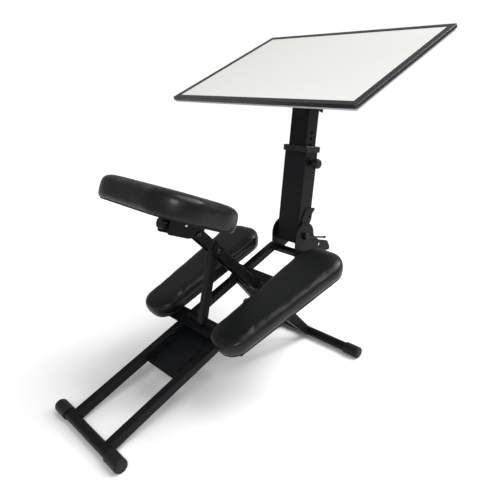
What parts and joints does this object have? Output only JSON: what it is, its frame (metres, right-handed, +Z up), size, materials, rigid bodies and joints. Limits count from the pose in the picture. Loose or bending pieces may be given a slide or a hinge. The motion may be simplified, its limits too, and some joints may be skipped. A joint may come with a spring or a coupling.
{
  "type": "kneeling desk chair",
  "caption": "Folding kneeling chair: padded seat and two knee pads on an X-shaped steel frame, with a tilting drafting desk on a telescopic column.",
  "frame": {"origin": "on the floor, under the middle of the object's bounding box", "axes": "+X from the seat towards the desk, +Y to the sitter's left, +Z up"},
  "size_m": [1.1482, 0.762, 1.0947],
  "materials": {
    "powder_coat": "satin black powder coat",
    "zinc": "dark zinc plated",
    "plastic": "matte black",
    "rubber": "matte black",
    "upholstery": "smooth black leatherette, semi-gloss",
    "board": "plywood under black dust cloth",
    "laminate": "satin white laminate"
  },
  "bodies": {
    "lower_frame": {"rear_foot_tube": "powder_coat", "rear_foot_cap_left": "rubber", "rear_foot_cap_right": "rubber", "rail_left": "powder_coat", "rail_right": "powder_coat", "front_bar": "powder_coat", "trough": "powder_coat", "rear_cross_plate": "powder_coat", "front_cross_plate": "powder_coat", "pad_board_left": "board", "pad_board_right": "board", "knee_pad_left": "upholstery", "knee_pad_right": "upholstery", "pad_screw_rear_left": "zinc", "pad_screw_front_left": "zinc", "pad_screw_rear_right": "zinc", "pad_screw_front_right": "zinc", "column_ear_left": "powder_coat", "column_ear_right": "powder_coat", "column_bolt": "zinc", "main_pivot_bolt": "zinc", "main_pivot_nut": "zinc"},
    "seat_beam": {"seat_arm": "powder_coat", "strut_saddle": "powder_coat", "strut_bolt": "zinc", "strut_nut": "zinc", "leg_left": "powder_coat", "leg_right": "powder_coat", "pivot_sleeve": "powder_coat", "front_foot_tube": "powder_coat", "front_foot_cap_left": "rubber", "front_foot_cap_right": "rubber"},
    "strut": {"strut": "powder_coat", "strut_rod": "powder_coat"},
    "seat": {"seat_plate": "powder_coat", "seat_board": "board", "seat_cushion": "upholstery", "seat_bracket": "powder_coat", "seat_pivot_bolt": "zinc", "seat_pivot_nut": "zinc"},
    "seat_knob": {"seat_knob": "plastic", "seat_knob_screw": "zinc"},
    "column": {"column_outer": "powder_coat", "column_collar": "plastic", "pin_barrel": "zinc"},
    "height_pin": {"height_pin": "zinc", "height_knob": "plastic"},
    "tilt_lever": {"tilt_lever": "powder_coat"},
    "clamp": {"clamp_hub": "plastic", "clamp_handle": "zinc"},
    "column_inner": {"column_inner": "powder_coat", "column_head": "powder_coat"},
    "desk": {"desk_board": "laminate", "desk_top": "laminate", "desk_edge": "plastic", "desk_bracket": "powder_coat", "desk_bolt": "zinc"},
    "desk_knob": {"desk_knob": "plastic"}
  },
  "joints": [
    {"name": "main_fold", "type": "hinge", "parent": "lower_frame", "child": "seat_beam", "pos_m": [0.08329, 0, 0.26658], "axis": [0, -1, 0], "range_deg": [0, 38]},
    {"name": "strut_fold", "type": "hinge", "parent": "seat_beam", "child": "strut", "pos_m": [-0.09402, 0, 0.44083], "axis": [0, 1, 0], "range_deg": [0, 73]},
    {"name": "seat_tilt", "type": "hinge", "parent": "seat_beam", "child": "seat", "pos_m": [-0.16634, 0, 0.5119], "axis": [0, 1, 0], "range_deg": [-12, 12]},
    {"name": "seat_knob_turn", "type": "hinge", "parent": "seat", "child": "seat_knob", "pos_m": [-0.26738, 0, 0.56007], "axis": [0.9285, 0, -0.3714], "continuous": true},
    {"name": "column_tilt", "type": "hinge", "parent": "lower_frame", "child": "column", "pos_m": [0.28387, 0, 0.4103], "axis": [0, 1, 0], "range_deg": [-10, 15]},
    {"name": "column_height", "type": "slide", "parent": "column", "child": "column_inner", "axis": [0.1104, 0, 0.9939], "range_m": [-0.055, 0.1]},
    {"name": "pin_pull", "type": "slide", "parent": "column", "child": "height_pin", "axis": [0, -1, 0], "range_m": [0, 0.008], "stiffness_N_per_m": 300},
    {"name": "tilt_lever_turn", "type": "hinge", "parent": "lower_frame", "child": "tilt_lever", "pos_m": [0.28387, 0, 0.4103], "axis": [0, 1, 0], "range_deg": [-20, 30]},
    {"name": "clamp_turn", "type": "hinge", "parent": "lower_frame", "child": "clamp", "pos_m": [0.28387, 0, 0.4103], "axis": [0, -1, 0], "range_deg": [0, 120]},
    {"name": "desk_tilt", "type": "hinge", "parent": "column_inner", "child": "desk", "pos_m": [0.34366, 0, 0.94845], "axis": [0, -1, 0], "range_deg": [-23, 30]},
    {"name": "desk_knob_turn", "type": "hinge", "parent": "desk", "child": "desk_knob", "pos_m": [0.34366, 0, 0.94845], "axis": [0, 1, 0], "continuous": true}
  ],
  "couplings": [
    {"joint": "strut_fold", "follows": "main_fold", "ratio": 1.9}
  ]
}
